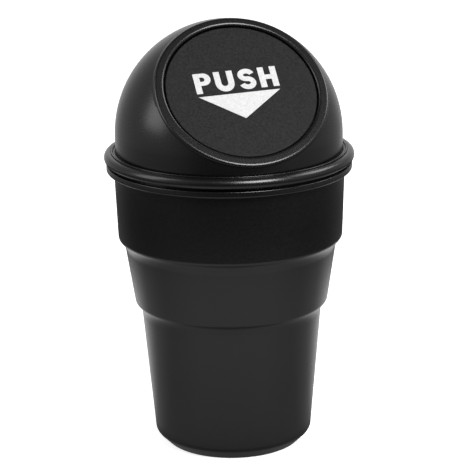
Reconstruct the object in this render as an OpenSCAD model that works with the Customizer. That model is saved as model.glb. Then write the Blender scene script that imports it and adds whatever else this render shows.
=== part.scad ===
// Small waste bin for a car: a stepped bucket that stands in a cup holder,
// a domed lid that pushes into its mouth, and a round sprung flap in the lid.
// All lengths are in millimetres. The origin is at the middle of the base,
// +Z is up and the flap faces -Y.

/* [Bin body] */
// Outer radius that the wall of the lowest tier would have at the floor
base_r = 29.3; // [27.5:0.1:31.5]
// Height of the lowest tier
low_h = 54.5; // [45:0.5:65]
// Height of the middle tier
mid_h = 25.1; // [20:0.1:32]
// Height of the top tier, up to the underside of the rim
high_h = 26.9; // [20:0.1:34]
// Radius that the lowest tier gains by its taper
low_rise = 4.8; // [3:0.1:6]
// Radius that the middle tier gains by its taper
mid_rise = 3.85; // [2:0.05:5]
// Radius that the top tier gains by its taper
high_rise = 1; // [0.4:0.1:2.5]
// Width of the ledge under each step
step_out = 2.05; // [1.95:0.05:3]
// Thickness of the wall
wall_t = 1.3; // [1:0.1:1.6]
// Thickness of the floor
floor_t = 1.6; // [1.2:0.1:3]
// Angle from upright of the chamfer round the floor and of each ledge, in degrees
slope_turn = 45; // [42:1:48]
// Height of the chamfer round the floor
chamfer_h = 4.35; // [3:0.05:5]
// Radius of the rounding where this chamfer meets the floor
chamfer_low_r = 1.2; // [0.6:0.1:1.5]
// Radius of the rounding where this chamfer meets the wall
chamfer_high_r = 3; // [2:0.1:4]
// Height that each ledge's slope starts below the end of its tier
ledge_drop = 1.15; // [0.9:0.05:1.3]
// Share of a ledge's slope that the hollow at its root takes
ledge_root_share = 0.48; // [0.3:0.01:0.5]
// Share of a ledge's slope that the rounding of its edge takes
ledge_edge_share = 0.42; // [0.35:0.01:0.45]

/* [Rim] */
// Width that the rim stands out from the wall
rim_out = 2.8; // [2:0.1:4]
// Thickness of the rim
rim_t = 2.4; // [1.8:0.1:4]
// Radius of the outer edges of the rim
rim_edge_r = 0.7; // [0.3:0.1:0.85]

/* [Lid] */
// Radial clearance between the lid's skirt and the mouth of the bin
skirt_clear = 0.25; // [0.15:0.05:0.6]
// Depth that the skirt reaches into the mouth
skirt_h = 8; // [5:0.5:12]
// Thickness of the skirt
skirt_t = 1.2; // [0.8:0.1:1.6]
// Amount that the dome is smaller in radius than the top of the wall
dome_inset = 0.7; // [0.5:0.1:1.5]
// Thickness of the dome
dome_t = 1.4; // [1.1:0.1:1.8]
// Height of the upright foot of the dome above the flange
foot_h = 5.8; // [4:0.1:10]
// Amount that the flange of the lid stands out past the rim
flange_over = 0.8; // [0.3:0.1:2]
// Height of the flange, from the rim up to the ridge beside the gutter
flange_h = 5.1; // [4.6:0.1:7]
// Radius of the bead that runs round the flange
bead_r = 2.1; // [1.7:0.1:2.4]
// Amount that the bead lies below the ridge
bead_drop = 0.35; // [0.1:0.05:0.5]
// Height of the open line between the rim and the edge of the flange
seam_h = 0.8; // [0.3:0.1:1]
// Depth of the gutter between the flange and the dome
gutter_h = 0.8; // [0.3:0.1:1.2]
// Width of the gutter
gutter_w = 1.1; // [0.6:0.1:1.2]
// Width of the ridge between the gutter and the groove beside the bead
ridge_w = 0.55; // [0.4:0.05:0.7]

/* [Collar] */
// Tilt of the opening from level, in degrees
face_tilt = 45; // [42:1:48]
// Radius of the bore of the collar
opening_r = 28.3; // [26:0.1:29.5]
// Width of the flat land round the bore
land_width = 3.8; // [2.8:0.1:4]
// Amount that the collar stands proud of the dome
collar_proud = 1.25; // [0.6:0.05:1.4]
// Thickness of the land
land_t = 1.5; // [1.3:0.1:1.8]
// Thickness of the tube behind the land
collar_t = 1.3; // [1:0.1:1.6]
// Depth of the bore
bore_depth = 4.1; // [3.6:0.1:5]
// Radius of the outer edge of the land
land_edge_r = 0.6; // [0.3:0.1:0.9]
// Radius of the inner edge of the land
bore_edge_r = 0.7; // [0.3:0.1:0.9]

/* [Flap] */
// Gap between the flap and the bore
flap_gap = 0.5; // [0.4:0.05:1]
// Amount that the face of the flap lies below the land
flap_recess = 0.8; // [0.4:0.1:1.5]
// Thickness of the flap
flap_t = 1.6; // [1.2:0.1:2]
// Radius of the edge of the flap's face
flap_edge_r = 0.4; // [0.1:0.05:0.6]
// Height of the stop lip
lip_t = 1.2; // [0.8:0.1:1.6]
// Width that the stop lip reaches past the bore
lip_out = 1.3; // [0.8:0.1:1.6]
// Gap between the stop lip and the back of the collar
stop_gap = 0.15; // [0.1:0.05:0.3]
// Arc that the stop lip covers, in degrees
lip_arc = 230; // [180:5:240]

/* [Hinge] */
// Radius of the hinge pin
pin_r = 1; // [0.8:0.1:1.2]
// Distance from the top of the bore down to the pin
pin_drop = 6; // [5.5:0.1:7]
// Outer radius of the knuckles on the flap
knuckle_r = 2.4; // [2.1:0.1:2.6]
// Length of each knuckle
knuckle_len = 5; // [4:0.5:6]
// Running clearance between the pin and the knuckles
knuckle_clear = 0.08; // [0.05:0.01:0.1]
// Gap between the knuckles and the back of the flap
knuckle_stand = 1.2; // [0.9:0.1:1.5]
// Thickness of the two ears inside the dome
ear_t = 2.2; // [1.6:0.1:3]
// Wall of the ears round the pin
ear_wall = 1.8; // [1.4:0.1:2]
// Clearance between the pin and the ears
ear_clear = 0.02; // [0.01:0.01:0.05]
// End play between a knuckle and its ear
end_play = 0.4; // [0.3:0.1:0.6]
// Length of the pin past each ear
pin_over = 0.6; // [0.3:0.1:1]

/* [Return spring] */
// Diameter of the spring wire
wire_d = 0.8; // [0.6:0.05:0.9]
// Turns of the coil
coil_turns = 6; // [4:1:8]
// Rise of the coil for each turn
coil_pitch = 0.95; // [0.92:0.01:1.1]
// Clearance between the coil and the pin
coil_clear = 0.4; // [0.2:0.05:0.5]
// Gap between the coil and each knuckle
coil_gap = 0.8; // [0.5:0.1:1.2]
// Reach of the leg that bears on the flap
flap_leg = 12; // [8:0.5:16]
// Reach of the leg that bears on the dome
dome_leg = 11.6; // [9:0.1:12]
// Gap between the ends of the legs and what they bear on
leg_seat = 0.25; // [0.15:0.05:0.4]

/* [Hidden] */

// Overrun of every cut
cut = 1;
// Facets of round parts, and of the spring wire
round_fn = 96;
wire_sides = 8;
turn_steps = 14;
// Points on each fillet of an outline
fillet_steps = 5;

// Outer radii up the bin, and the heights where the tiers end
low_top_r = base_r + low_rise;
mid_base_r = low_top_r + step_out;
mid_top_r = mid_base_r + mid_rise;
high_base_r = mid_top_r + step_out;
high_top_r = high_base_r + high_rise;
low_top = low_h;
mid_top = low_top + mid_h;
rim_under = mid_top + high_h;
rim_top = rim_under + rim_t;
rim_r = high_top_r + rim_out;

// Lid: the skirt fits the mouth at its own lower end
skirt_bottom = rim_top - skirt_h;
mouth_share = (skirt_bottom - mid_top) / high_h;
mouth_r = high_base_r + high_rise * mouth_share - wall_t;
skirt_r = mouth_r - skirt_clear;
dome_r = high_top_r - dome_inset;
dome_in_r = dome_r - dome_t;
flange_r = rim_r + flange_over;
flange_top = rim_top + flange_h;
centre_z = flange_top + foot_h;
seat_r = rim_r - rim_edge_r - seam_h;

// Flange outline: the middle of its bead, the angles where the bead's arc
// starts and ends, and how deep the groove beside the ridge is
bead_mid_r = flange_r - bead_r;
bead_mid_z = flange_top - bead_drop - bead_r;
bead_under = -35;
bead_over = 98;
groove_h = 2 * bead_drop;

// Collar and flap, as distances from the dome's centre along the opening's axis
collar_r = opening_r + land_width;
collar_foot = sqrt(pow(dome_r, 2) - pow(collar_r, 2));
collar_ledge = collar_proud / 5;
land_w = collar_foot + collar_proud;
collar_back = land_w - bore_depth;
flap_face = land_w - flap_recess;
flap_back = flap_face - flap_t;
flap_r = opening_r - flap_gap;
lip_front = collar_back - stop_gap;
lip_back = lip_front - lip_t;
lip_r = opening_r + lip_out;

// Hinge, in the tilted frame of the opening
pin_v = opening_r - pin_drop;
pin_w = flap_back - knuckle_stand - knuckle_r;
ear_r = pin_r + ear_wall;
wire_r = wire_d / 2;
coil_r = pin_r + coil_clear + wire_r;
coil_half = coil_turns * coil_pitch / 2;
knuckle_in = coil_half + wire_r + coil_gap;
knuckle_end = knuckle_in + knuckle_len;
block_share = 0.8;
ear_in = knuckle_end + end_play;
pin_half = ear_in + ear_t + pin_over;

// Points on an arc about c, from angle a to angle b
function arc(c, r, a, b) =
    [for (i = [0:fillet_steps]) c + r * [cos(a + (b - a) * i / fillet_steps),
                                         sin(a + (b - a) * i / fillet_steps)]];

// Outward rounding of radius e at point p, where the wall's lean from upright
// drops from below to above, followed at depth t inside the outer face
function crown(p, below, above, e, t) =
    arc(p + e / cos((below - above) / 2) * [-cos((below + above) / 2), sin((below + above) / 2)],
        e - t, -below, -above);

// Hollow rounding of radius e at point p, where the lean grows from below to above
function hollow(p, below, above, e, t) =
    arc(p + e / cos((above - below) / 2) * [cos((below + above) / 2), -sin((below + above) / 2)],
        e + t, 180 - below, 180 - above);

low_lean = atan(low_rise / low_h);
mid_lean = atan(mid_rise / mid_h);
high_lean = atan(high_rise / high_h);
foot_r = base_r - chamfer_h * (tan(slope_turn) - tan(low_lean));

// Sloped ledge from the tier that ends at radius r and height z to the next
// one, with the leans of the walls below and above it
function ledge(r, z, below, above, t) =
    let (rise = ((step_out + ledge_drop * tan(below)) / tan(slope_turn) - ledge_drop)
                / (1 - tan(above) / tan(slope_turn)),
         slope = (rise + ledge_drop) / cos(slope_turn))
    concat(
        hollow([r - ledge_drop * tan(below), z - ledge_drop], below, slope_turn,
               slope * ledge_root_share / tan((slope_turn - below) / 2), t),
        crown([r + step_out + rise * tan(above), z + rise], slope_turn, above,
              slope * ledge_edge_share / tan((slope_turn - above) / 2), t));

// Outline of the bin's wall, t inside the outer face, from the floor up to
// the last ledge
function wall_outline(t, floor_z) = concat(
    crown([foot_r - t / cos(slope_turn) + floor_z * tan(slope_turn), floor_z],
          90, slope_turn, chamfer_low_r, 0),
    crown([base_r + chamfer_h * tan(low_lean), chamfer_h], slope_turn, low_lean, chamfer_high_r, t),
    ledge(low_top_r, low_top, low_lean, mid_lean, t),
    ledge(mid_top_r, mid_top, mid_lean, high_lean, t));

function backwards(list) = [for (i = [len(list) - 1:-1:0]) list[i]];

// Bucket with two steps, open at the top, with a flat rim
module bin_body() {
    outer = wall_outline(0, 0);
    inner = wall_outline(wall_t, floor_t);
    mouth_top_r = high_top_r + rim_t * tan(high_lean) - wall_t;
    rim = concat(
        hollow([high_top_r, rim_under], high_lean, 90, rim_edge_r, 0),
        arc([rim_r - rim_edge_r, rim_under + rim_edge_r], rim_edge_r, -90, 0),
        arc([rim_r - rim_edge_r, rim_top - rim_edge_r], rim_edge_r, 0, 90),
        arc([mouth_top_r + rim_edge_r, rim_top - rim_edge_r], rim_edge_r, 90, 180));
    color("#1c1c1e")
        rotate_extrude($fn = round_fn)
            polygon(concat([[0, 0]], outer, rim, backwards(inner), [[0, floor_t]]));
}

// Frame of the opening: local z runs out along its axis, local y up its face
module on_face() {
    translate([0, 0, centre_z])
        rotate([face_tilt, 0, 0])
            children();
}

// Half section of the skirt, the flange and the upright foot of the dome
module lid_foot_section() {
    gutter_r = dome_r + gutter_w / 2;
    ridge_in = dome_r + gutter_w;
    ridge_out = ridge_in + ridge_w;
    polygon(concat(
        [[skirt_r - skirt_t, skirt_bottom],
         [skirt_r, skirt_bottom],
         [skirt_r, rim_top],
         [seat_r, rim_top],
         [seat_r, rim_top + seam_h],
         [rim_r, rim_top + seam_h]],
        arc([bead_mid_r, bead_mid_z], bead_r, bead_under, 0),
        arc([bead_mid_r, bead_mid_z], bead_r, 0, bead_over),
        [[ridge_out + ridge_w / 2, flange_top - groove_h],
         [ridge_out, flange_top - groove_h],
         [ridge_out, flange_top - ridge_w / 4],
         [ridge_out - ridge_w / 4, flange_top],
         [ridge_in + ridge_w / 4, flange_top],
         [ridge_in, flange_top - ridge_w / 4]],
        arc([gutter_r, flange_top - gutter_h + gutter_w / 2], gutter_w / 2, 0, -180),
        [[dome_r, centre_z],
         [dome_in_r, centre_z],
         [dome_in_r, rim_top + dome_t],
         [skirt_r - skirt_t, rim_top]]));
}

// Half section of the round top of the dome
module dome_section() {
    intersection() {
        translate([0, centre_z])
            difference() {
                circle(r = dome_r, $fn = round_fn);
                circle(r = dome_in_r, $fn = round_fn);
            }
        translate([0, centre_z])
            square(dome_r + cut);
    }
}

// Ring round the opening: a flat land with rounded edges and a tube behind it
module collar() {
    rotate_extrude($fn = round_fn)
        polygon(concat(
            [[opening_r, collar_back],
             [opening_r + collar_t, collar_back],
             [opening_r + collar_t, land_w - land_t],
             [collar_r, land_w - land_t]],
            arc([collar_r - land_edge_r, land_w - land_edge_r], land_edge_r, 0, 90),
            arc([opening_r + bore_edge_r, land_w - bore_edge_r], bore_edge_r, 90, 180)));
}

// Two ears that hang from the inside of the dome and hold the ends of the pin
module ears() {
    intersection() {
        for (side = [-1, 1])
            translate([side * (ear_in + ear_t / 2) - ear_t / 2, 0, 0])
                rotate([90, 0, 90])
                    linear_extrude(height = ear_t)
                        union() {
                            translate([pin_v, pin_w])
                                circle(r = ear_r, $fn = round_fn);
                            translate([pin_v, pin_w - ear_r])
                                square([dome_r, ear_r + collar_back - pin_w + collar_t]);
                        }
        sphere(r = dome_r - dome_t / 2, $fn = round_fn);
    }
}

// Bar along the hinge, centred on the pin's axis in the opening's frame
module pin_bar(r, half) {
    translate([-half, pin_v, pin_w])
        rotate([0, 90, 0])
            cylinder(r = r, h = 2 * half, $fn = round_fn);
}

// Domed lid with its flange, skirt, collar and hinge ears, moulded in one
module dome_lid() {
    bore_cut_r = opening_r + collar_t / 2;
    color("#1b1b1d")
        difference() {
            union() {
                difference() {
                    union() {
                        rotate_extrude($fn = round_fn)
                            union() {
                                lid_foot_section();
                                dome_section();
                            }
                        on_face()
                            ears();
                    }
                    on_face() {
                        translate([0, 0, collar_foot - collar_ledge])
                            cylinder(r = collar_r + land_width, h = dome_r, $fn = round_fn);
                        translate([0, 0, collar_back + collar_ledge])
                            cylinder(r = bore_cut_r, h = dome_r, $fn = round_fn);
                    }
                }
                on_face()
                    collar();
            }
            on_face()
                pin_bar(pin_r + ear_clear, pin_half + cut);
        }
}

// Round flap: a flat disc with a part ring and stop lip behind its lower
// edge, and two knuckles near its top
module push_flap() {
    ring_out = flap_r - flap_edge_r;
    ring_in = ring_out - lip_t;
    ring_root = flap_back + flap_t / 2;
    color("#232325")
        on_face()
            difference() {
                union() {
                    rotate_extrude($fn = round_fn)
                        polygon(concat(
                            [[0, flap_back], [flap_r, flap_back]],
                            arc([flap_r - flap_edge_r, flap_face - flap_edge_r],
                                flap_edge_r, 0, 90),
                            [[0, flap_face]]));
                    rotate([0, 0, -90 - lip_arc / 2])
                        rotate_extrude(angle = lip_arc, $fn = round_fn)
                            polygon([[ring_in, lip_back],
                                     [lip_r, lip_back],
                                     [lip_r, lip_front],
                                     [ring_out, lip_front],
                                     [ring_out, ring_root],
                                     [ring_in, ring_root]]);
                    for (side = [-1, 1])
                        translate([side * (knuckle_in + knuckle_end) / 2, 0, 0])
                            knuckle();
                }
                pin_bar(pin_r + knuckle_clear, pin_half);
            }
}

// Barrel of the hinge and the block that joins it to the back of the flap
module knuckle() {
    block_half = knuckle_r * block_share;
    translate([-knuckle_len / 2, pin_v, pin_w])
        rotate([0, 90, 0])
            cylinder(r = knuckle_r, h = knuckle_len, $fn = round_fn);
    translate([-knuckle_len / 2, pin_v - block_half, pin_w])
        cube([knuckle_len, 2 * block_half, flap_back + flap_t / 2 - pin_w]);
}

// Steel rod that the flap turns on
module hinge_pin() {
    color("silver")
        on_face()
            pin_bar(pin_r, pin_half);
}

// Spring: the ends of its two legs, as [v, w], and the angles on the coil at
// which straight legs to those ends leave it
coil_c = [pin_v, pin_w];
flap_end = [pin_v - flap_leg, flap_back - wire_r - leg_seat];
dome_end_v = pin_v + dome_leg;
dome_end_r = dome_in_r - wire_r - leg_seat;
dome_end = [dome_end_v, sqrt(pow(dome_end_r, 2) - pow(dome_end_v, 2) - pow(coil_half, 2))];
function bearing(p) = atan2(p[1] - coil_c[1], p[0] - coil_c[0]);
function wrap(p) = acos(coil_r / norm(p - coil_c));
flap_angle = bearing(flap_end) - wrap(flap_end);
dome_angle = bearing(dome_end) + wrap(dome_end);
coil_sweep = 360 * coil_turns + flap_angle - dome_angle;
coil_count = ceil(coil_turns * turn_steps);

// Centre line of the wire, in the opening's frame: the leg to the flap, the
// coil round the pin, and the leg to the dome
function coil_point(k) =
    let (share = k / coil_count, a = flap_angle - coil_sweep * share)
    [coil_half * (2 * share - 1),
     coil_c[0] + coil_r * cos(a),
     coil_c[1] + coil_r * sin(a)];
spring_path = concat(
    [[-coil_half, flap_end[0], flap_end[1]]],
    [for (k = [0:coil_count]) coil_point(k)],
    [[coil_half, dome_end[0], dome_end[1]]]);

// Round wire swept along a path that never runs straight along the hinge
module wire(path) {
    last = len(path) - 1;
    function along(i) =
        let (d = path[min(i + 1, last)] - path[max(i - 1, 0)]) d / norm(d);
    function side(i) =
        let (n = cross(along(i), [1, 0, 0])) n / norm(n);
    ring = [for (i = [0:last], j = [0:wire_sides - 1])
        let (a = 360 * j / wire_sides, n = side(i))
        path[i] + wire_r * (cos(a) * n + sin(a) * cross(along(i), n))];
    skin = [for (i = [0:last - 1], j = [0:wire_sides - 1])
        let (p = i * wire_sides, q = (j + 1) % wire_sides)
        [p + j, p + wire_sides + j, p + wire_sides + q, p + q]];
    near_end = [for (j = [0:wire_sides - 1]) j];
    far_end = [for (j = [wire_sides - 1:-1:0]) last * wire_sides + j];
    polyhedron(points = ring, faces = concat([near_end], skin, [far_end]));
}

// Torsion spring that swings the flap shut
module return_spring() {
    color("gainsboro")
        on_face()
            wire(spring_path);
}

bin_body();
dome_lid();
push_flap();
hinge_pin();
return_spring();
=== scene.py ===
import math

import bmesh
import bpy
from mathutils import Matrix, Vector


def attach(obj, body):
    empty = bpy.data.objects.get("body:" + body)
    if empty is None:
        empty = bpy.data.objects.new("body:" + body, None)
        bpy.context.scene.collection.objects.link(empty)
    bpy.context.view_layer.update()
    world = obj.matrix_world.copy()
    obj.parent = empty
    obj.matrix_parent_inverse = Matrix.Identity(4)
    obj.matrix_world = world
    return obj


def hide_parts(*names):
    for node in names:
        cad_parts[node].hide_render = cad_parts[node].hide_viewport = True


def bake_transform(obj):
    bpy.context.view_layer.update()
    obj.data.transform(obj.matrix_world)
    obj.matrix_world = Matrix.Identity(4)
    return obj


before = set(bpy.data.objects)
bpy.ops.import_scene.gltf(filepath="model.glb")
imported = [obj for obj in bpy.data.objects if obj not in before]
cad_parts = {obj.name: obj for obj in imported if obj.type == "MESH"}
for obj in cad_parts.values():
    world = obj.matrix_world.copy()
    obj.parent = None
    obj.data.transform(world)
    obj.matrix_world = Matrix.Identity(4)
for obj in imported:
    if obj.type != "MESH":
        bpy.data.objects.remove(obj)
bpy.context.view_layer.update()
scene = bpy.context.scene


# Camera
# A long lens stands to the left of the flap and looks down on it a little.
VIEW_TURN = math.radians(14.1)
CAMERA_DISTANCE = 0.7959
CAMERA_HEIGHT = 0.3106
CAMERA_PITCH = math.radians(16.107)
CAMERA_YAW = math.radians(0.07)
CAMERA_ROLL = math.radians(-0.91)
FRAME_WIDTH_PX = 466
FOCAL_LENGTH_PX = 2200
SENSOR_MM = 36

ahead = Vector((math.sin(CAMERA_YAW) * math.cos(CAMERA_PITCH),
                math.cos(CAMERA_YAW) * math.cos(CAMERA_PITCH),
                -math.sin(CAMERA_PITCH)))
right = ahead.cross(Vector((0, 0, 1))).normalized()
above = right.cross(ahead)
rolled_right = math.cos(CAMERA_ROLL) * right + math.sin(CAMERA_ROLL) * above
rolled_above = math.cos(CAMERA_ROLL) * above - math.sin(CAMERA_ROLL) * right
facing = Matrix((rolled_right, rolled_above, -ahead)).transposed().to_4x4()
place = Matrix.Translation((0, -CAMERA_DISTANCE, CAMERA_HEIGHT))
lens = bpy.data.cameras.new("camera")
lens.sensor_width = SENSOR_MM
lens.lens = SENSOR_MM * FOCAL_LENGTH_PX / FRAME_WIDTH_PX
lens.clip_start = 0.01
lens.clip_end = 20
camera = bpy.data.objects.new("camera", lens)
camera.matrix_world = Matrix.Rotation(-VIEW_TURN, 4, "Z") @ place @ facing
scene.collection.objects.link(camera)
scene.camera = camera
scene.view_settings.view_transform = "Standard"


# Studio
# A white sweep lies under and behind the bin. The room in front of it and the ceiling are dim. In
# the plastic's reflections the floor glows with a painted pool of light and a painted shadow of the
# bin round its foot, so that the black plastic shows dark faces between bright edges.
class Socket:
    """A node's output that takes part in arithmetic: each operator adds a Math node."""

    def __init__(self, graph, output):
        self.graph = graph
        self.output = output

    def _math(self, operation, *values):
        return self.graph.node("ShaderNodeMath", {"operation": operation}, dict(enumerate(values)))

    def __add__(self, other):
        return self._math("ADD", self, other)

    def __radd__(self, other):
        return self._math("ADD", other, self)

    def __sub__(self, other):
        return self._math("SUBTRACT", self, other)

    def __mul__(self, other):
        return self._math("MULTIPLY", self, other)

    def __rmul__(self, other):
        return self._math("MULTIPLY", other, self)

    def __truediv__(self, other):
        return self._math("DIVIDE", self, other)

    def at_most(self, other):
        return self._math("MINIMUM", self, other)

    def at_least(self, other):
        return self._math("MAXIMUM", self, other)


class Graph:
    """The node tree of a material or of the world."""

    def __init__(self, owner):
        owner.use_nodes = True
        self.tree = owner.node_tree
        self.tree.nodes.clear()

    def node(self, kind, settings=None, inputs=None, output=0):
        made = self.tree.nodes.new(kind)
        for name, value in (settings or {}).items():
            if name == "stops":
                self._set_stops(made.color_ramp, value)
            else:
                setattr(made, name, value)
        for key, value in (inputs or {}).items():
            if isinstance(value, Socket):
                self.tree.links.new(value.output, made.inputs[key])
            else:
                made.inputs[key].default_value = value
        return Socket(self, made.outputs[output]) if made.outputs else made

    def _set_stops(self, ramp, stops):
        while len(ramp.elements) < len(stops):
            ramp.elements.new(1)
        for element, (position, level) in zip(ramp.elements, stops):
            element.position = position
            element.color = (level, level, level, 1)


toward_camera = Matrix.Rotation(-VIEW_TURN, 3, "Z") @ Vector((0, -1, 0))
rightward = Matrix.Rotation(-VIEW_TURN, 3, "Z") @ Vector((1, 0, 0))
ROOM_STOPS = [(0.0, 0.9), (0.05, 0.7), (0.12, 0.43), (0.27, 0.38), (0.5, 0.42), (0.74, 0.44),
              (0.84, 0.33), (0.91, 0.2), (0.945, 0.09), (1.0, 0.07)]
CEILING_SHARE = 0.3
CEILING_CLIMB = (0.7, 0.93)
AIM_HEIGHT = 0.115


def room_tone(graph, direction):
    """Tone of the room in a direction: dim towards the camera, pale behind the bin."""
    frontness = graph.node("ShaderNodeVectorMath", {"operation": "DOT_PRODUCT"},
                           {0: direction, 1: toward_camera}, output="Value")
    return graph.node("ShaderNodeValToRGB", {"stops": ROOM_STOPS}, {0: frontness * 0.5 + 0.5})


world = bpy.data.worlds.new("studio")
scene.world = world
sky = Graph(world)
sky_direction = sky.node("ShaderNodeTexCoord", output="Generated")
seen = sky.node("ShaderNodeLightPath", output="Is Camera Ray")
white = sky.node("ShaderNodeBackground", None, {"Color": (1, 1, 1, 1), "Strength": 1})
sky_climb = sky.node("ShaderNodeSeparateXYZ", None, {0: sky_direction}, output="Z")
ceiling = sky.node("ShaderNodeMapRange", {"interpolation_type": "SMOOTHSTEP"},
                   {0: sky_climb, 1: CEILING_CLIMB[0], 2: CEILING_CLIMB[1], 3: 1, 4: CEILING_SHARE})
lit = sky.node("ShaderNodeBackground", None,
               {"Color": room_tone(sky, sky_direction), "Strength": ceiling})
backdrop = sky.node("ShaderNodeMixShader", None, {0: seen, 1: lit, 2: white})
sky.node("ShaderNodeOutputWorld", None, {"Surface": backdrop})


def softbox(name, turn, rise, distance, size, level):
    """Rectangular lamp aimed at the bin, turn degrees to the right of the camera
    and rise degrees up. Its level is that of an emission shader, whatever its
    size: Cycles spreads a lamp's energy over four times its area."""
    lamp = bpy.data.lights.new(name, "AREA")
    lamp.shape = "RECTANGLE"
    lamp.size, lamp.size_y = size
    lamp.energy = level * 4 * size[0] * size[1]
    holder = bpy.data.objects.new(name, lamp)
    heading, climb = math.radians(turn), math.radians(rise)
    level_way = math.cos(heading) * toward_camera + math.sin(heading) * rightward
    way = math.cos(climb) * level_way + Vector((0, 0, math.sin(climb)))
    holder.location = Vector((0, 0, AIM_HEIGHT)) + distance * way
    holder.rotation_euler = (-way).to_track_quat("-Z", "Y").to_euler()
    scene.collection.objects.link(holder)


softbox("front_box", turn=30, rise=40, distance=0.9, size=(0.42, 0.5), level=13)
softbox("left_box", turn=-80, rise=30, distance=0.9, size=(0.4, 0.8), level=2.1)
softbox("right_box", turn=107, rise=42, distance=0.9, size=(0.5, 0.42), level=3.9)

# The floor's tone in the plastic is painted light. For rays other than camera rays the floor glows,
# with a painted pool of light by the side of the bin that it lies on. It also carries a painted
# shadow of the bin, set by its distance from the bin's axis as a share of the reach of the shade.
# Past ROOM_R it takes the tone of the room.
FLOOR_HALF = 3.0
FLOOR_GREY = 0.8
FLOOR_GLOW = 0.75
# Painted pool of light: the floor's glow in reflections, set by the side of the bin.
PAINTED_POOL_STOPS = [(0.0, 0.85), (0.08, 0.97), (0.16, 0.88), (0.23, 0.73), (0.33, 0.45), (0.6, 0.42),
              (0.9, 0.68), (1.0, 0.7)]
# Painted shadow of the bin: the floor's glow in reflections dims near its foot.
PAINTED_SHADOW_REACH = 0.36
PAINTED_SHADOW_STOPS = [(0.085, 0.3), (0.098, 0.34), (0.11, 0.62), (0.16, 0.76), (0.24, 0.84), (0.34, 1.0),
               (0.43, 1.0), (0.69, 0.12), (1.0, 0.08)]
ROOM_R = (0.36, 0.5)
floor_mesh = bpy.data.meshes.new("floor")
floor_mesh.from_pydata([(-FLOOR_HALF, -FLOOR_HALF, 0), (FLOOR_HALF, -FLOOR_HALF, 0),
                        (FLOOR_HALF, FLOOR_HALF, 0), (-FLOOR_HALF, FLOOR_HALF, 0)],
                       [], [(0, 1, 2, 3)])
floor_finish = bpy.data.materials.new("white_sweep")
sweep = Graph(floor_finish)
floor_place = sweep.node("ShaderNodeTexCoord", output="Object")
floor_way = sweep.node("ShaderNodeVectorMath", {"operation": "NORMALIZE"}, {0: floor_place})
floor_reach = sweep.node("ShaderNodeVectorMath", {"operation": "LENGTH"}, {0: floor_place},
                         output="Value")
floor_front = sweep.node("ShaderNodeVectorMath", {"operation": "DOT_PRODUCT"},
                         {0: floor_way, 1: toward_camera}, output="Value")
painted_pool_tone = sweep.node("ShaderNodeValToRGB", {"stops": PAINTED_POOL_STOPS}, {0: floor_front * 0.5 + 0.5})
painted_shadow_level = sweep.node("ShaderNodeValToRGB", {"stops": PAINTED_SHADOW_STOPS},
                         {0: floor_reach / PAINTED_SHADOW_REACH})
painted_near_tone = painted_pool_tone * painted_shadow_level
beyond_pool = sweep.node("ShaderNodeMapRange", {"interpolation_type": "SMOOTHSTEP"},
                         {0: floor_reach, 1: ROOM_R[0], 2: ROOM_R[1]})
painted_floor_tone = painted_near_tone + beyond_pool * (room_tone(sweep, floor_way) - painted_near_tone)
floor_seen = sweep.node("ShaderNodeLightPath", output="Is Camera Ray")
# Rays other than camera rays see the floor glow like a lamp, with the painted pool and painted
# shadow. Camera rays see it white, with its real shadow.
painted_floor_glow = sweep.node("ShaderNodeEmission", None, {"Color": (1, 1, 1, 1), "Strength": painted_floor_tone})
glow = sweep.node("ShaderNodeEmission", None, {"Color": (1, 1, 1, 1), "Strength": FLOOR_GLOW})
shaded = sweep.node("ShaderNodeBsdfDiffuse", None,
                    {"Color": (FLOOR_GREY, FLOOR_GREY, FLOOR_GREY, 1)})
bright = sweep.node("ShaderNodeAddShader", None, {0: shaded, 1: glow})
floor_look = sweep.node("ShaderNodeMixShader", None, {0: floor_seen, 1: painted_floor_glow, 2: bright})
sweep.node("ShaderNodeOutputMaterial", None, {"Surface": floor_look})
floor_mesh.materials.append(floor_finish)
floor = bpy.data.objects.new("floor", floor_mesh)
scene.collection.objects.link(floor)


# Bin body
# One injection moulding of black polypropylene with a fine satin grain: a
# bucket of three tapered tiers with a ledge under each wider one, a chamfered
# foot and a flat rim. Its outline is turned about the axis.
BASE_R = 0.0293
LOW_TOP = (0.0341, 0.0545)
MID_TOP = (0.04, 0.0796)
RIM_UNDER = (0.04305, 0.1065)
RIM_R = 0.04585
RIM_TOP = 0.1089
WALL_T = 0.0013
FLOOR_T = 0.0016
STEP_OUT = 0.00205
SLOPE_TURN = math.radians(45)
CHAMFER_H = 0.00435
CHAMFER_LOW_R = 0.0012
CHAMFER_HIGH_R = 0.003
LEDGE_DROP = 0.00115
LEDGE_ROOT_SHARE = 0.76
LEDGE_EDGE_SHARE = 0.2
RIM_EDGE_R = 0.0007
RIM_CREST_R = 0.00028
FILLET_STEPS = 8
SUPPORT_GAP = 0.00025
BIN_SIDES = 256
SHARP_TURN = math.radians(35)
POLE_WELD = 1e-6


def rounded(corners, closed=False):
    """Outline through (x, y, fillet radius) corners, with an arc at each one and a
    point close to each end of a long straight, so that it shades flat."""
    count = len(corners)
    outline = []
    for i, (x, y, radius) in enumerate(corners):
        corner = Vector((x, y))
        if not closed and i in (0, count - 1) or radius <= 0:
            outline.append(corner)
            continue
        before = Vector(corners[i - 1][:2]) - corner
        after = Vector(corners[(i + 1) % count][:2]) - corner
        half_turn = before.angle(after) / 2
        reach = radius / math.tan(half_turn)
        into, out = before.normalized(), after.normalized()
        centre = corner + (into + out).normalized() * radius / math.sin(half_turn)
        if before.length > reach + 3 * SUPPORT_GAP:
            outline.append(corner + into * (reach + SUPPORT_GAP))
        start, end = corner + into * reach - centre, corner + out * reach - centre
        sweep_angle = start.angle_signed(end)
        for step in range(FILLET_STEPS + 1):
            turn = Matrix.Rotation(-sweep_angle * step / FILLET_STEPS, 2)
            outline.append(centre + turn @ start)
        if after.length > reach + 3 * SUPPORT_GAP:
            outline.append(corner + out * (reach + SUPPORT_GAP))
    return outline


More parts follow.
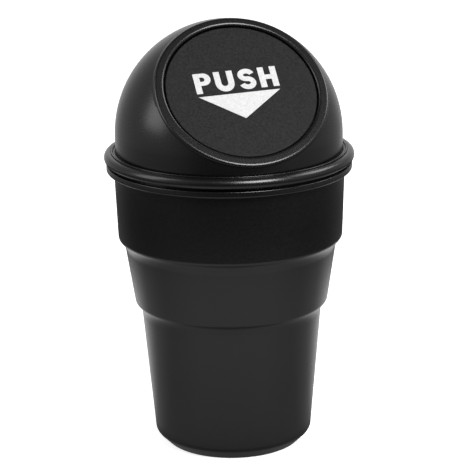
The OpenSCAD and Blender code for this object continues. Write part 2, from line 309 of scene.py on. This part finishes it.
def turned_tree():
    """Geometry Nodes: turns an outline that lies in the XZ plane about Z."""
    tree = bpy.data.node_groups.new("turned_outline", "GeometryNodeTree")
    face = tree.interface
    face.new_socket("Outline", in_out="INPUT", socket_type="NodeSocketGeometry")
    face.new_socket("Sides", in_out="INPUT", socket_type="NodeSocketInt")
    face.new_socket("Weld", in_out="INPUT", socket_type="NodeSocketFloat")
    face.new_socket("Material", in_out="INPUT", socket_type="NodeSocketMaterial")
    face.new_socket("Body", in_out="OUTPUT", socket_type="NodeSocketGeometry")

    def add(kind, settings=None, links=None):
        made = tree.nodes.new(kind)
        for name, value in (settings or {}).items():
            setattr(made, name, value)
        for key, value in (links or {}).items():
            if isinstance(value, bpy.types.NodeSocket):
                tree.links.new(value, made.inputs[key])
            else:
                made.inputs[key].default_value = value
        return made

    given = add("NodeGroupInput").outputs
    size = add("GeometryNodeAttributeDomainSize", {"component": "MESH"}, {0: given["Outline"]})
    rows = size.outputs["Point Count"]
    sides_and_one = add("ShaderNodeMath", {"operation": "ADD"}, {0: given["Sides"], 1: 1})
    grid = add("GeometryNodeMeshGrid", None,
               {"Vertices X": sides_and_one.outputs[0], "Vertices Y": rows})
    index = add("GeometryNodeInputIndex").outputs[0]
    side = add("ShaderNodeMath", {"operation": "DIVIDE"}, {0: index, 1: rows})
    side_number = add("ShaderNodeMath", {"operation": "FLOOR"}, {0: side.outputs[0]})
    row = add("ShaderNodeMath", {"operation": "FLOORED_MODULO"}, {0: index, 1: rows})
    turn = add("ShaderNodeMath", {"operation": "DIVIDE"},
               {0: side_number.outputs[0], 1: given["Sides"]})
    angle = add("ShaderNodeMath", {"operation": "MULTIPLY"}, {0: turn.outputs[0], 1: math.tau})
    position = add("GeometryNodeInputPosition").outputs[0]
    sample = add("GeometryNodeSampleIndex", {"data_type": "FLOAT_VECTOR", "domain": "POINT"})
    tree.links.new(given["Outline"], sample.inputs[0])
    tree.links.new(position, next(s for s in sample.inputs if s.name == "Value" and s.enabled))
    tree.links.new(row.outputs[0], sample.inputs["Index"])
    sampled = next(s for s in sample.outputs if s.enabled)
    turned = add("ShaderNodeVectorRotate", {"rotation_type": "Z_AXIS"},
                 {"Vector": sampled, "Angle": angle.outputs[0]})
    placed = add("GeometryNodeSetPosition", None,
                 {"Geometry": grid.outputs["Mesh"], "Position": turned.outputs[0]})
    welded = add("GeometryNodeMergeByDistance", None,
                 {"Geometry": placed.outputs[0], "Distance": given["Weld"]})
    finished = add("GeometryNodeSetMaterial", None,
                   {"Geometry": welded.outputs[0], "Material": given["Material"]})
    add("NodeGroupOutput", None, {"Body": finished.outputs[0]})
    return tree


def turned_object(name, outline, sides, material, tree):
    """Plain mesh made by turning an outline of (radius, height) points."""
    line = bpy.data.meshes.new(name + "_outline")
    line.from_pydata([(r, 0, z) for r, z in outline],
                     [(i, i + 1) for i in range(len(outline) - 1)], [])
    maker = bpy.data.objects.new(name + "_maker", line)
    scene.collection.objects.link(maker)
    modifier = maker.modifiers.new("turned", "NODES")
    modifier.node_group = tree
    sockets = {item.name: item.identifier for item in tree.interface.items_tree}
    modifier[sockets["Sides"]] = sides
    modifier[sockets["Weld"]] = POLE_WELD
    modifier[sockets["Material"]] = material
    bpy.context.view_layer.update()
    evaluated = maker.evaluated_get(bpy.context.evaluated_depsgraph_get())
    mesh = bpy.data.meshes.new_from_object(evaluated)
    bpy.data.objects.remove(maker)
    return finished_object(name, mesh)


def finished_object(name, mesh):
    """Object at the origin with outward faces, smooth but for its sharp edges."""
    shell = bmesh.new()
    shell.from_mesh(mesh)
    bmesh.ops.remove_doubles(shell, verts=shell.verts, dist=1e-7)
    bmesh.ops.recalc_face_normals(shell, faces=shell.faces)
    shell.to_mesh(mesh)
    shell.free()
    mesh.name = name
    mesh.shade_smooth()
    mesh.set_sharp_from_angle(angle=SHARP_TURN)
    made = bpy.data.objects.new(name, mesh)
    scene.collection.objects.link(made)
    return made


def moulded_plastic(name, tone, roughness, grain_size, grain_depth, mottle, shine=0.5):
    """Black polypropylene: a dark body, a satin skin and a fine moulded grain, over
    soft clouds about a centimetre across."""
    material = bpy.data.materials.new(name)
    graph = Graph(material)
    where = graph.node("ShaderNodeTexCoord", output="Object")
    grain = graph.node("ShaderNodeTexNoise", None,
                       {"Vector": where, "Scale": 1 / grain_size, "Detail": 3, "Roughness": 0.6})
    cloud = graph.node("ShaderNodeTexNoise", None,
                       {"Vector": where, "Scale": 90, "Detail": 2, "Roughness": 0.5})
    flecks = (grain - 0.5) * mottle
    level = tone * (1 + flecks + (cloud - 0.5) * 0.25)
    shade = graph.node("ShaderNodeCombineColor", None, {0: level, 1: level, 2: level * 1.04})
    bump = graph.node("ShaderNodeBump", None,
                      {"Strength": 1.0, "Distance": grain_depth, "Height": grain})
    skin = graph.node("ShaderNodeBsdfPrincipled", None,
                      {"Base Color": shade,
                       "Roughness": (roughness + flecks * 0.08).at_least(0.05),
                       "Normal": bump,
                       "IOR": 1.5,
                       "Specular IOR Level": shine})
    graph.node("ShaderNodeOutputMaterial", None, {"Surface": skin})
    return material


def bend(point, below, above, radius, depth=0, flat_before=True, flat_after=True):
    """Arc where a wall's lean from upright changes at a point: rounded outward where
    the lean drops and hollow where it grows. It follows the inner face at a depth."""
    side = 1 if below > above else -1
    middle = (below + above) / 2
    reach = radius / math.cos((below - above) / 2)
    centre = Vector(point) - side * reach * Vector((math.cos(middle), -math.sin(middle)))
    steps = 2 * FILLET_STEPS
    leans = [below + (above - below) * i / steps for i in range(steps + 1)]
    arc = [centre + (side * radius - depth) * Vector((math.cos(a), -math.sin(a))) for a in leans]
    if flat_before:
        arc.insert(0, arc[0] - SUPPORT_GAP * Vector((math.sin(below), math.cos(below))))
    if flat_after:
        arc.append(arc[-1] + SUPPORT_GAP * Vector((math.sin(above), math.cos(above))))
    return [(x, z, 0) for x, z in arc]


def ledge(radius, height, below, above, depth):
    """Sloped ledge from the tier that ends at a radius and height to the next one."""
    tilt = math.tan(SLOPE_TURN)
    rise = (STEP_OUT + LEDGE_DROP * math.tan(below)) / tilt - LEDGE_DROP
    rise /= 1 - math.tan(above) / tilt
    slope = (rise + LEDGE_DROP) / math.cos(SLOPE_TURN)
    root_r = slope * LEDGE_ROOT_SHARE / math.tan((SLOPE_TURN - below) / 2)
    edge_r = slope * LEDGE_EDGE_SHARE / math.tan((SLOPE_TURN - above) / 2)
    root = (radius - LEDGE_DROP * math.tan(below), height - LEDGE_DROP)
    edge = (radius + STEP_OUT + rise * math.tan(above), height + rise)
    return (bend(root, below, SLOPE_TURN, root_r, depth, flat_after=False)
            + bend(edge, SLOPE_TURN, above, edge_r, depth, flat_before=False))


low_lean = math.atan2(LOW_TOP[0] - BASE_R, LOW_TOP[1])
mid_lean = math.atan2(MID_TOP[0] - LOW_TOP[0] - STEP_OUT, MID_TOP[1] - LOW_TOP[1])
high_lean = math.atan2(RIM_UNDER[0] - MID_TOP[0] - STEP_OUT, RIM_UNDER[1] - MID_TOP[1])
foot_r = BASE_R - CHAMFER_H * (math.tan(SLOPE_TURN) - math.tan(low_lean))
mouth_r = RIM_UNDER[0] + (RIM_TOP - RIM_UNDER[1]) * math.tan(high_lean) - WALL_T


def wall(depth, floor_z):
    """The wall from the floor to the last ledge, at a depth inside its outer face."""
    foot = (foot_r - depth / math.cos(SLOPE_TURN) + floor_z * math.tan(SLOPE_TURN), floor_z)
    shoulder = (BASE_R + CHAMFER_H * math.tan(low_lean), CHAMFER_H)
    return (bend(foot, math.pi / 2, SLOPE_TURN, CHAMFER_LOW_R)
            + bend(shoulder, SLOPE_TURN, low_lean, CHAMFER_HIGH_R, depth)
            + ledge(*LOW_TOP, low_lean, mid_lean, depth)
            + ledge(*MID_TOP, mid_lean, high_lean, depth))


bin_outline = rounded([
    (0, 0, 0),
    *wall(0, 0),
    (*RIM_UNDER, RIM_EDGE_R),
    (RIM_R, RIM_UNDER[1], RIM_EDGE_R),
    (RIM_R, RIM_TOP, RIM_CREST_R),
    (mouth_r, RIM_TOP, RIM_EDGE_R),
    *wall(WALL_T, FLOOR_T)[::-1],
    (0, FLOOR_T, 0),
])
bin_plastic = moulded_plastic("bin_plastic", tone=0.003, roughness=0.24,
                              grain_size=0.0008, grain_depth=0.00004, mottle=1.6)
turned = turned_tree()
bin_body = turned_object("bin_moulding", bin_outline, BIN_SIDES, bin_plastic, turned)
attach(bin_body, "bin")
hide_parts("bin_body")


# Domed lid
# One injection moulding of the same black polypropylene, glossier than the
# bin: a dome with an upright foot, a gutter and a rolled flange, a skirt that
# pushes into the mouth, and a slanted collar with a flat land round its bore.
# The collar's flank has a little draft, and its outer edge sits a hair further
# down the face than its bore.
DOME_R = 0.04235
DOME_T = 0.0014
DOME_CENTRE = 0.1198
FLANGE_R = 0.04663
FLANGE_TOP = 0.114
BEAD_R = 0.0021
BEAD_Z = 0.11155
BEAD_TURN = (98, -30)
BEAD_STEPS = 28
SEAM_H = 0.0011
SEAT_R = 0.0432
SKIRT_R = 0.04129
SKIRT_T = 0.0012
SKIRT_BOTTOM = 0.1009
GUTTER_W = 0.0011
GUTTER_H = 0.0008
RIDGE_W = 0.00055
GROOVE_H = 0.0007
GUTTER_EDGE_R = 0.0005
RIDGE_EDGE_R = 0.0002
GROOVE_EDGE_R = 0.0001
SEAM_EDGE_R = 0.0003
SKIRT_EDGE_R = 0.0004
SKIRT_ROOT_R = 0.0005
FACE_TILT = math.radians(45)
BORE_R = 0.0283
LAND_W = 0.028874
COLLAR_R = 0.032
COLLAR_DRAFT = 0.0002
COLLAR_DROP = 0.00025
LAND_T = 0.0015
COLLAR_T = 0.0013
BORE_DEPTH = 0.0041
LAND_EDGE_R = 0.0011
BORE_EDGE_R = 0.001
COLLAR_ROOT_R = 0.0003
COLLAR_BACK_R = 0.0002
LID_SIDES = 256
DOME_ROWS = 56

out_of_face = Vector((0, -math.sin(FACE_TILT), math.cos(FACE_TILT)))
up_the_face = Vector((0, math.cos(FACE_TILT), math.sin(FACE_TILT)))
dome_centre = Vector((0, 0, DOME_CENTRE))


def on_face(u, v, w):
    """Point u to the right, v up the flap and w out along the opening's axis."""
    return dome_centre + Vector((u, 0, 0)) + v * up_the_face + w * out_of_face


def face_ring(radius, w, drop=0):
    """Ring round the opening's axis, or a drop below it, from its lowest point."""
    turns = [math.tau * i / LID_SIDES for i in range(LID_SIDES)]
    return [on_face(radius * math.sin(a), -radius * math.cos(a) - drop, w) for a in turns]


def level_ring(radius, z):
    """Ring round the bin's axis, from its front."""
    turns = [math.tau * i / LID_SIDES for i in range(LID_SIDES)]
    return [Vector((radius * math.sin(a), -radius * math.cos(a), z)) for a in turns]


def onto_dome(point, radius):
    """Moves a point out to the dome, or to its upright foot below the centre."""
    if point.z >= DOME_CENTRE:
        return dome_centre + (point - dome_centre).normalized() * radius
    flat = Vector((point.x, point.y, 0)).normalized() * radius
    return Vector((flat.x, flat.y, point.z))


def dome_rings(start, end, radius):
    """Rings over the dome between two given ones."""
    rings = []
    for row in range(1, DOME_ROWS):
        share = row / DOME_ROWS
        rings.append([onto_dome(a.lerp(b, share), radius) for a, b in zip(start, end)])
    return rings


def ring_mesh(name, rings, closed):
    """Mesh through rings of equal length; closed joins the last to the first."""
    sides = len(rings[0])
    points = [p for ring in rings for p in ring]
    faces = []
    spans = len(rings) if closed else len(rings) - 1
    for row in range(spans):
        a = row * sides
        b = (row + 1) % len(rings) * sides
        for i in range(sides):
            j = (i + 1) % sides
            faces.append((a + i, a + j, b + j, b + i))
    mesh = bpy.data.meshes.new(name)
    mesh.from_pydata(points, [], faces)
    return mesh


dome_in_r = DOME_R - DOME_T
collar_back = LAND_W - BORE_DEPTH
collar_foot_r = COLLAR_R + COLLAR_DRAFT
collar_foot = math.sqrt(DOME_R ** 2 - collar_foot_r ** 2)
cut_ring = [onto_dome(p, DOME_R) for p in face_ring(collar_foot_r, collar_foot)]
plate_under = LAND_W - LAND_T
under_r = math.sqrt(dome_in_r ** 2 - plate_under ** 2)
under_ring = [onto_dome(p, dome_in_r) for p in face_ring(under_r, plate_under)]
gutter_floor = FLANGE_TOP - GUTTER_H
ridge_in, ridge_out = DOME_R + GUTTER_W, DOME_R + GUTTER_W + RIDGE_W
bead = []
for step in range(BEAD_STEPS + 1):
    a = math.radians(BEAD_TURN[0] + (BEAD_TURN[1] - BEAD_TURN[0]) * step / BEAD_STEPS)
    bead.append((FLANGE_R - BEAD_R + BEAD_R * math.cos(a), BEAD_Z + BEAD_R * math.sin(a), 0))
foot_outline = rounded([
    (DOME_R, FLANGE_TOP + GUTTER_H, 0),
    (DOME_R, gutter_floor, GUTTER_EDGE_R),
    (ridge_in, gutter_floor, GUTTER_EDGE_R),
    (ridge_in, FLANGE_TOP, RIDGE_EDGE_R),
    (ridge_out, FLANGE_TOP, RIDGE_EDGE_R),
    (ridge_out, FLANGE_TOP - GROOVE_H, GROOVE_EDGE_R),
    (ridge_out + RIDGE_W / 2, FLANGE_TOP - GROOVE_H, GROOVE_EDGE_R),
    *bead,
    (RIM_R, RIM_TOP + SEAM_H, SEAM_EDGE_R),
    (SEAT_R, RIM_TOP + SEAM_H, 0),
    (SEAT_R, RIM_TOP, 0),
    (SKIRT_R, RIM_TOP, 0),
    (SKIRT_R, SKIRT_BOTTOM, SKIRT_EDGE_R),
    (SKIRT_R - SKIRT_T, SKIRT_BOTTOM, SKIRT_EDGE_R),
    (SKIRT_R - SKIRT_T, RIM_TOP, SKIRT_ROOT_R),
    (dome_in_r, RIM_TOP + DOME_T, SKIRT_ROOT_R),
    (dome_in_r, RIM_TOP + 3 * DOME_T, 0),
])
foot_rings = [level_ring(r, z) for r, z in foot_outline]
collar_outline = rounded([
    (BORE_R + COLLAR_T, plate_under, COLLAR_ROOT_R),
    (BORE_R + COLLAR_T, collar_back, COLLAR_BACK_R),
    (BORE_R, collar_back, COLLAR_BACK_R),
    (BORE_R, LAND_W, BORE_EDGE_R),
    (COLLAR_R, LAND_W, LAND_EDGE_R),
    (collar_foot_r, collar_foot, 0),
])[:-1]
collar_rings = [face_ring(r, w, COLLAR_DROP if r > BORE_R + COLLAR_T else 0)
                for r, w in collar_outline]
lid_rings = ([cut_ring] + dome_rings(cut_ring, foot_rings[0], DOME_R) + foot_rings
             + dome_rings(foot_rings[-1], under_ring, dome_in_r) + [under_ring] + collar_rings)
lid_mesh = ring_mesh("lid_moulding", lid_rings, closed=True)
lid_plastic = moulded_plastic("lid_plastic", tone=0.002, roughness=0.27,
                              grain_size=0.0007, grain_depth=0.000006, mottle=1.0)
lid_mesh.materials.append(lid_plastic)

# Hinge ears: two plates that hang from the inside of the dome and hold the pin.
PIN_V = 0.0223
PIN_DROP = 0.006
PIN_W = LAND_W - PIN_DROP
EAR_R = 0.0028
EAR_IN = 0.00945
EAR_T = 0.0022
EAR_ROUND_STEPS = 20


def ear_outline(u):
    """Outline of one ear at u, as (v, w): round the pin, then out into the dome."""
    points = []
    for step in range(EAR_ROUND_STEPS + 1):
        a = math.radians(90 + 180 * step / EAR_ROUND_STEPS)
        points.append((PIN_V + EAR_R * math.cos(a), PIN_W + EAR_R * math.sin(a)))
    hold_r = DOME_R - DOME_T / 2
    low, high = PIN_W - EAR_R, collar_back
    points.append((math.sqrt(hold_r ** 2 - low ** 2 - u ** 2), low))
    points.append((math.sqrt(hold_r ** 2 - high ** 2 - u ** 2), high))
    points.append((PIN_V + EAR_R / 2, high))
    return points


def add_prism(shell, near, far):
    """Adds a closed prism between two outlines of equal length."""
    first = [shell.verts.new(p) for p in near]
    second = [shell.verts.new(p) for p in far]
    shell.faces.new(first)
    shell.faces.new(second[::-1])
    for i in range(len(first)):
        j = (i + 1) % len(first)
        shell.faces.new((first[i], second[i], second[j], first[j]))


lid_shell = bmesh.new()
lid_shell.from_mesh(lid_mesh)
for side in (-1, 1):
    inner, outer = side * EAR_IN, side * (EAR_IN + EAR_T)
    outline = ear_outline(EAR_IN + EAR_T)
    add_prism(lid_shell, [on_face(inner, v, w) for v, w in outline],
              [on_face(outer, v, w) for v, w in outline])
lid_shell.to_mesh(lid_mesh)
lid_shell.free()
dome_lid = finished_object("lid_moulding", lid_mesh)
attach(dome_lid, "lid")
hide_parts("dome_lid")


# Flap
# One moulding with a fine matt grain on its face: a disc with a part ring and
# a stop lip behind its lower edge, and two hinge knuckles near its top.
FLAP_R = 0.0278
FLAP_RECESS = 0.0008
FLAP_FACE = LAND_W - FLAP_RECESS
FLAP_T = 0.0016
FLAP_EDGE_R = 0.0004
FLAP_BACK_R = 0.0002
LIP_ARC = math.radians(230)
LIP_STEPS = 96
LIP_T = 0.0012
LIP_R = 0.0296
LIP_EDGE_R = 0.0003
LIP_ROOT_R = 0.0002
RING_ROOT_R = 0.0001
STOP_GAP = 0.00015
KNUCKLE_R = 0.0024
KNUCKLE_IN = 0.00405
KNUCKLE_LEN = 0.005
KNUCKLE_BORE_R = 0.00108
KNUCKLE_END_R = 0.002256
KNUCKLE_CHAMFER = 0.05
KNUCKLE_SIDES = 40
BLOCK_HALF = 0.00192

flap_back = FLAP_FACE - FLAP_T
ring_out = FLAP_R - FLAP_EDGE_R
ring_in = ring_out - LIP_T
lip_front = collar_back - STOP_GAP
lip_back = lip_front - LIP_T
disc_outline = rounded([
    (0, flap_back, 0),
    (FLAP_R, flap_back, FLAP_BACK_R),
    (FLAP_R, FLAP_FACE, FLAP_EDGE_R),
    (0, FLAP_FACE, 0),
])
disc_rings = [face_ring(r, w) for r, w in disc_outline[1:-1]]
flap_mesh = ring_mesh("flap_moulding", disc_rings, closed=False)
flap_shell = bmesh.new()
flap_shell.from_mesh(flap_mesh)
disc_points = list(flap_shell.verts)
for edge, w in ((disc_points[:LID_SIDES], flap_back), (disc_points[-LID_SIDES:], FLAP_FACE)):
    middle = flap_shell.verts.new(on_face(0, 0, w))
    for i in range(LID_SIDES):
        flap_shell.faces.new((edge[i], edge[(i + 1) % LID_SIDES], middle))
ring_root = flap_back + FLAP_T / 2
lip_section = rounded([
    (ring_in, lip_back, LIP_ROOT_R),
    (LIP_R, lip_back, LIP_EDGE_R),
    (LIP_R, lip_front, LIP_EDGE_R),
    (ring_out, lip_front, LIP_ROOT_R),
    (ring_out, ring_root, RING_ROOT_R),
    (ring_in, ring_root, RING_ROOT_R),
], closed=True)
lip_stations = []
for step in range(LIP_STEPS + 1):
    a = LIP_ARC * (step / LIP_STEPS - 0.5)
    lip_stations.append([flap_shell.verts.new(on_face(r * math.sin(a), -r * math.cos(a), w))
                         for r, w in lip_section])
for near, far in zip(lip_stations, lip_stations[1:]):
    for i in range(len(near)):
        j = (i + 1) % len(near)
        flap_shell.faces.new((near[i], near[j], far[j], far[i]))
flap_shell.faces.new(lip_stations[0])
flap_shell.faces.new(lip_stations[-1][::-1])


def add_barrel(shell, start_u, length, section):
    """Adds a ring-shaped solid round the pin's axis from a closed section of
    (radius, share of the length) points."""
    rings = []
    for radius, share in section:
        ring = []
        for i in range(KNUCKLE_SIDES):
            a = math.tau * i / KNUCKLE_SIDES
            ring.append(shell.verts.new(on_face(start_u + share * length,
                                                PIN_V + radius * math.cos(a),
                                                PIN_W + radius * math.sin(a))))
        rings.append(ring)
    for near, far in zip(rings, rings[1:] + rings[:1]):
        for i in range(KNUCKLE_SIDES):
            j = (i + 1) % KNUCKLE_SIDES
            shell.faces.new((near[i], near[j], far[j], far[i]))


for side in (-1, 1):
    start = KNUCKLE_IN if side > 0 else -KNUCKLE_IN - KNUCKLE_LEN
    add_barrel(flap_shell, start, KNUCKLE_LEN,
               [(KNUCKLE_BORE_R, 0), (KNUCKLE_END_R, 0), (KNUCKLE_R, KNUCKLE_CHAMFER),
                (KNUCKLE_R, 1 - KNUCKLE_CHAMFER), (KNUCKLE_END_R, 1), (KNUCKLE_BORE_R, 1)])
    block_low = PIN_W + KNUCKLE_R / 2
    block = [(PIN_V - BLOCK_HALF, block_low), (PIN_V + BLOCK_HALF, block_low),
             (PIN_V + BLOCK_HALF, ring_root), (PIN_V - BLOCK_HALF, ring_root)]
    add_prism(flap_shell, [on_face(start, v, w) for v, w in block],
              [on_face(start + KNUCKLE_LEN, v, w) for v, w in block])
flap_shell.to_mesh(flap_mesh)
flap_shell.free()
flap_plastic = moulded_plastic("flap_plastic", tone=0.009, roughness=0.6,
                               grain_size=0.0008, grain_depth=0.00012, mottle=3.4, shine=0.14)
flap_mesh.materials.append(flap_plastic)
push_flap = finished_object("flap_moulding", flap_mesh)
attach(push_flap, "flap")
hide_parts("push_flap")


# Printed marks on the flap
# White pad printing: a plain operating word in bold capitals over a triangle
# that points down the flap. The ink stands a hair above the plastic.
INK_T = 0.00004
PRINT_TURN = math.radians(2.48)
PRINT_CORNER = (-0.01647, -0.00023)
PRINT_SCALE = 0.982
CAP_H = 0.00875
STROKE = 0.0023
OVERSHOOT = 0.0001
LETTER_STEPS = 16


def bow(cx, cy, rx, ry, start, end):
    """Points along part of an ellipse, from start to end degrees."""
    shares = [i / LETTER_STEPS for i in range(LETTER_STEPS + 1)]
    turns = [math.radians(start + (end - start) * share) for share in shares]
    return [(cx + rx * math.cos(a), cy + ry * math.sin(a)) for a in turns]


def letter_p():
    width, bowl_h, arm = 0.0064, 0.0053, 0.0017
    bowl = bow(width - bowl_h / 2 - OVERSHOOT, CAP_H - bowl_h / 2,
               bowl_h / 2 + OVERSHOOT, bowl_h / 2, -90, 90)
    counter_h = bowl_h / 2 - arm
    eye = bow(STROKE + counter_h, CAP_H - bowl_h / 2, counter_h * 0.9, counter_h, -90, 90)
    outline = [(0, 0), (STROKE, 0), (STROKE, CAP_H - bowl_h)] + bowl + [(0, CAP_H)]
    counter = [(STROKE, CAP_H - bowl_h + arm)] + eye + [(STROKE, CAP_H - arm)]
    return [outline, counter]


def letter_u():
    width = 0.0072
    half = width / 2
    inner = half - STROKE
    outer_bow = bow(half, half, half, half + OVERSHOOT, 180, 360)
    inner_bow = bow(half, half, inner, inner, 0, -180)
    return [[(0, CAP_H)] + outer_bow + [(width, CAP_H), (width - STROKE, CAP_H)]
            + inner_bow + [(STROKE, CAP_H)]]


def letter_s():
    width, half_stroke = 0.0064, 0.00103
    rx = width / 2 - half_stroke
    waist = CAP_H / 2 + OVERSHOOT
    upper = (CAP_H + OVERSHOOT - half_stroke - waist) / 2
    lower = (waist + OVERSHOOT - half_stroke) / 2
    spine = bow(width / 2, waist + upper, rx, upper, 12, 270)
    spine += bow(width / 2, waist - lower, rx, lower, 90, -168)[1:]
    left, right_side = [], []
    for i, (x, y) in enumerate(spine):
        before, after = spine[max(i - 1, 0)], spine[min(i + 1, len(spine) - 1)]
        along = Vector((after[0] - before[0], after[1] - before[1])).normalized()
        left.append((x - along.y * half_stroke, y + along.x * half_stroke))
        right_side.append((x + along.y * half_stroke, y - along.x * half_stroke))
    return [left + right_side[::-1]]


def letter_h():
    width, bar_low, bar_high = 0.00695, 0.0034, 0.0054
    return [[(0, 0), (STROKE, 0), (STROKE, bar_low), (width - STROKE, bar_low), (width - STROKE, 0),
             (width, 0), (width, CAP_H), (width - STROKE, CAP_H), (width - STROKE, bar_high),
             (STROKE, bar_high), (STROKE, CAP_H), (0, CAP_H)]]


def arrow():
    return [[(0.0003, -0.00135), (0.0315, -0.00135), (0.01575, -0.0123)]]


marks = bpy.data.curves.new("flap_print", "CURVE")
marks.dimensions = "2D"
marks.fill_mode = "BOTH"
marks.extrude = INK_T / 2
for shift, outlines in ((0, letter_p()), (0.0078, letter_u()), (0.0168, letter_s()),
                        (0.0247, letter_h()), (0, arrow())):
    for outline in outlines:
        spline = marks.splines.new("POLY")
        spline.points.add(len(outline) - 1)
        for point, (x, y) in zip(spline.points, outline):
            point.co = (x + shift, y, 0, 1)
        spline.use_cyclic_u = True
drawn = bpy.data.objects.new("flap_print_curve", marks)
scene.collection.objects.link(drawn)
bpy.context.view_layer.update()
drawn_now = drawn.evaluated_get(bpy.context.evaluated_depsgraph_get())
print_mesh = bpy.data.meshes.new_from_object(drawn_now)
bpy.data.objects.remove(drawn)
face_frame = Matrix((Vector((1, 0, 0)), up_the_face, out_of_face)).transposed().to_4x4()
print_place = Matrix.Translation(on_face(*PRINT_CORNER, FLAP_FACE + INK_T / 2))
print_turn = Matrix.Rotation(PRINT_TURN, 4, "Z")
print_mesh.transform(print_place @ face_frame @ print_turn @ Matrix.Scale(PRINT_SCALE, 4))
ink = bpy.data.materials.new("white_ink")
ink_graph = Graph(ink)
ink_place = ink_graph.node("ShaderNodeTexCoord", output="Object")
specks = ink_graph.node("ShaderNodeTexNoise", None,
                        {"Vector": ink_place, "Scale": 1500, "Detail": 2, "Roughness": 0.6})
ink_level = (0.48 + (specks - 0.5) * 0.3).at_most(0.9)
ink_shade = ink_graph.node("ShaderNodeCombineColor", None,
                           {0: ink_level, 1: ink_level, 2: ink_level})
ink_skin = ink_graph.node("ShaderNodeBsdfPrincipled", None,
                          {"Base Color": ink_shade, "Roughness": 0.55})
ink_graph.node("ShaderNodeOutputMaterial", None, {"Surface": ink_skin})
print_mesh.materials.clear()
print_mesh.materials.append(ink)
flap_print = finished_object("flap_print", print_mesh)
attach(flap_print, "flap")


# Hinge pin
# Drawn steel rod with broken edges, pressed through the lid's ears.
PIN_R = 0.001
PIN_HALF = 0.01225
PIN_BREAK = 0.0002


def drawn_steel(name, tone, roughness):
    """Steel with fine drawing lines along X."""
    material = bpy.data.materials.new(name)
    graph = Graph(material)
    where = graph.node("ShaderNodeTexCoord", output="Object")
    stretched = graph.node("ShaderNodeMapping", None,
                           {"Vector": where, "Scale": (150, 5000, 5000)})
    lines = graph.node("ShaderNodeTexNoise", None,
                       {"Vector": stretched, "Scale": 1, "Detail": 2})
    level = tone * (0.9 + 0.2 * lines)
    shade = graph.node("ShaderNodeCombineColor", None, {0: level, 1: level, 2: level * 1.01})
    skin = graph.node("ShaderNodeBsdfPrincipled", None,
                      {"Base Color": shade, "Metallic": 1.0, "Roughness": roughness + 0.15 * lines})
    graph.node("ShaderNodeOutputMaterial", None, {"Surface": skin})
    return material


pin_steel = drawn_steel("pin_steel", tone=0.6, roughness=0.22)
pin_outline = [(0, -PIN_HALF), (PIN_R - PIN_BREAK, -PIN_HALF), (PIN_R, PIN_BREAK - PIN_HALF),
               (PIN_R, PIN_HALF - PIN_BREAK), (PIN_R - PIN_BREAK, PIN_HALF), (0, PIN_HALF)]
pin = turned_object("pin_rod", pin_outline, KNUCKLE_SIDES, pin_steel, turned)
pin_place = Matrix.Translation(on_face(0, PIN_V, PIN_W))
pin.data.transform(pin_place @ Matrix.Rotation(math.pi / 2, 4, "Y"))
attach(pin, "lid")
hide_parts("hinge_pin")


# Return spring
# Torsion spring of drawn wire, close wound on the pin: one straight leg bears
# on the back of the flap and the other inside the dome.
WIRE_R = 0.0004
WIRE_SIDES = 14
COIL_CLEAR = 0.0004
COIL_R = PIN_R + COIL_CLEAR + WIRE_R
COIL_TURNS = 6
COIL_PITCH = 0.00095
COIL_HALF = COIL_TURNS * COIL_PITCH / 2
FLAP_LEG = 0.012
DOME_LEG = 0.0116
TURN_STEPS = 36
LEG_STEPS = 10
LEG_SEAT = 0.00025

pin_spot = Vector((PIN_V, PIN_W))
flap_end = Vector((PIN_V - FLAP_LEG, flap_back - WIRE_R - LEG_SEAT))
dome_end_v = PIN_V + DOME_LEG
dome_end = Vector((dome_end_v, math.sqrt((dome_in_r - WIRE_R - LEG_SEAT) ** 2
                                         - dome_end_v ** 2 - COIL_HALF ** 2)))


def leg_angle(end, side):
    """Angle on the coil at which a straight leg to end leaves it."""
    reach = end - pin_spot
    return math.atan2(reach.y, reach.x) + side * math.acos(COIL_R / reach.length)


flap_angle = leg_angle(flap_end, -1)
dome_angle = leg_angle(dome_end, 1)
coil_sweep = math.tau * COIL_TURNS + flap_angle - dome_angle
coil = []
for step in range(COIL_TURNS * TURN_STEPS + 1):
    share = step / (COIL_TURNS * TURN_STEPS)
    a = flap_angle - coil_sweep * share
    coil.append(on_face(COIL_HALF * (2 * share - 1), PIN_V + COIL_R * math.cos(a),
                        PIN_W + COIL_R * math.sin(a)))
flap_tip = on_face(-COIL_HALF, *flap_end)
dome_tip = on_face(COIL_HALF, *dome_end)
wire_path = [flap_tip.lerp(coil[0], i / LEG_STEPS) for i in range(LEG_STEPS)] + coil
wire_path += [coil[-1].lerp(dome_tip, i / LEG_STEPS) for i in range(1, LEG_STEPS + 1)]
wire_turns = [math.tau * i / WIRE_SIDES for i in range(WIRE_SIDES)]
wire_rings = []
for i, spot in enumerate(wire_path):
    along = (wire_path[min(i + 1, len(wire_path) - 1)] - wire_path[max(i - 1, 0)]).normalized()
    across = along.cross(Vector((1, 0, 0))).normalized()
    other = along.cross(across)
    wire_rings.append([spot + WIRE_R * (math.cos(a) * across + math.sin(a) * other)
                       for a in wire_turns])
spring_mesh = ring_mesh("spring_wire", wire_rings, closed=False)
spring_shell = bmesh.new()
spring_shell.from_mesh(spring_mesh)
bmesh.ops.holes_fill(spring_shell, edges=[e for e in spring_shell.edges if e.is_boundary])
spring_shell.to_mesh(spring_mesh)
spring_shell.free()
spring_mesh.materials.append(drawn_steel("spring_steel", tone=0.55, roughness=0.28))
spring = finished_object("spring_wire", spring_mesh)
on_face(COIL_HALF, PIN_V, PIN_W)
on_face(-COIL_HALF, PIN_V, PIN_W)
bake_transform(spring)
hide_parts("return_spring")
